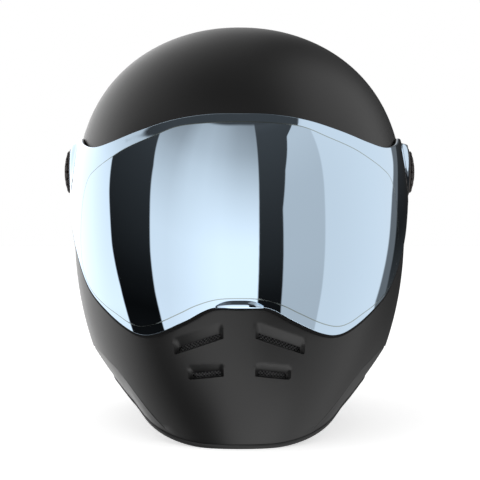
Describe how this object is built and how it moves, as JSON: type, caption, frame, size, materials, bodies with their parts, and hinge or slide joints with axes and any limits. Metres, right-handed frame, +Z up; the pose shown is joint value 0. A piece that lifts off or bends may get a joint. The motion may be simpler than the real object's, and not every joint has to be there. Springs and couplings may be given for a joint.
{
  "type": "downhill full-face skate helmet",
  "caption": "Full-face downhill skate helmet: smooth round shell, chin bar with vents, wide flip-up mirror visor on side knobs, padded liner and D-ring chin strap.",
  "frame": {"origin": "middle of the width and length, on the plane that the lower edge stands on", "axes": "+Z up, -Y the way the face looks, +X the wearer's left"},
  "size_m": [0.252, 0.3177, 0.28],
  "materials": {
    "shell": "matte black",
    "seal": "soft black",
    "visor": "blue-silver mirror coat",
    "hard_plastic": "satin black",
    "knob": "satin dark brown",
    "brass": "machined",
    "steel": "zinc plated",
    "ring_steel": "polished",
    "foam": "moulded foam",
    "padding": "brushed fabric",
    "mesh": "fine mesh",
    "webbing": "woven"
  },
  "bodies": {
    "shell": {"outer_shell": "shell", "port_seal": "seal", "edge_trim": "seal", "pivot_plate_left": "hard_plastic", "pivot_plate_right": "hard_plastic", "pivot_insert_left": "brass", "pivot_insert_right": "brass", "plate_screws": "steel", "eps_liner": "foam", "chin_liner": "foam", "cheek_block_left": "foam", "cheek_block_right": "foam", "crown_pad": "padding", "brow_pad": "padding", "neck_roll": "padding", "cheek_pad_left": "padding", "cheek_pad_right": "padding", "vent_mesh_upper_left": "mesh", "vent_mesh_upper_right": "mesh", "vent_mesh_lower_left": "mesh", "vent_mesh_lower_right": "mesh", "anchor_plate_left": "steel", "anchor_plate_right": "steel", "anchor_rivet_left": "steel", "anchor_rivet_right": "steel"},
    "visor": {"visor_lens": "visor", "visor_bushing_left": "hard_plastic", "visor_bushing_right": "hard_plastic"},
    "screw_travel_left": {"knob_washer_left": "steel"},
    "screw_left": {"knob_left": "knob"},
    "screw_travel_right": {"knob_washer_right": "steel"},
    "screw_right": {"knob_right": "knob"},
    "short_strap": {"strap_short": "webbing"},
    "inner_ring": {"d_ring_inner": "ring_steel"},
    "outer_ring": {"d_ring_outer": "ring_steel"},
    "long_strap": {"strap_long": "webbing", "strap_snap": "hard_plastic"}
  },
  "joints": [
    {"name": "visor_flip", "type": "hinge", "parent": "shell", "child": "visor", "pos_m": [0, 0.01108, 0.1765], "axis": [-1, 0, 0], "range_deg": [0, 60]},
    {"name": "screw_travel_left", "type": "slide", "parent": "shell", "child": "screw_travel_left", "axis": [1, 0, 0], "range_m": [0, 0.0032]},
    {"name": "screw_turn_left", "type": "hinge", "parent": "screw_travel_left", "child": "screw_left", "pos_m": [0.1225, 0.01108, 0.1765], "axis": [1, 0, 0], "range_deg": [0, 1440]},
    {"name": "screw_travel_right", "type": "slide", "parent": "shell", "child": "screw_travel_right", "axis": [-1, 0, 0], "range_m": [0, 0.0032]},
    {"name": "screw_turn_right", "type": "hinge", "parent": "screw_travel_right", "child": "screw_right", "pos_m": [-0.1225, 0.01108, 0.1765], "axis": [-1, 0, 0], "range_deg": [0, 1440]},
    {"name": "short_strap_swing", "type": "hinge", "parent": "shell", "child": "short_strap", "pos_m": [0.10092, 0.02108, 0.0725], "axis": [0, 1, 0], "range_deg": [0, 50]},
    {"name": "inner_ring_swing", "type": "hinge", "parent": "short_strap", "child": "inner_ring", "pos_m": [0.07352, 0.02108, 0.02807], "axis": [0, 1, 0], "range_deg": [0, 80]},
    {"name": "outer_ring_swing", "type": "hinge", "parent": "short_strap", "child": "outer_ring", "pos_m": [0.07702, 0.02108, 0.02807], "axis": [0, 1, 0], "range_deg": [-40, 0]},
    {"name": "long_strap_swing", "type": "hinge", "parent": "shell", "child": "long_strap", "pos_m": [-0.10092, 0.02108, 0.0725], "axis": [0, -1, 0], "range_deg": [0, 50]}
  ],
  "couplings": [
    {"joint": "screw_travel_left", "follows": "screw_turn_left", "m_per_rad": 0.00012732},
    {"joint": "screw_travel_right", "follows": "screw_turn_right", "m_per_rad": 0.00012732}
  ]
}
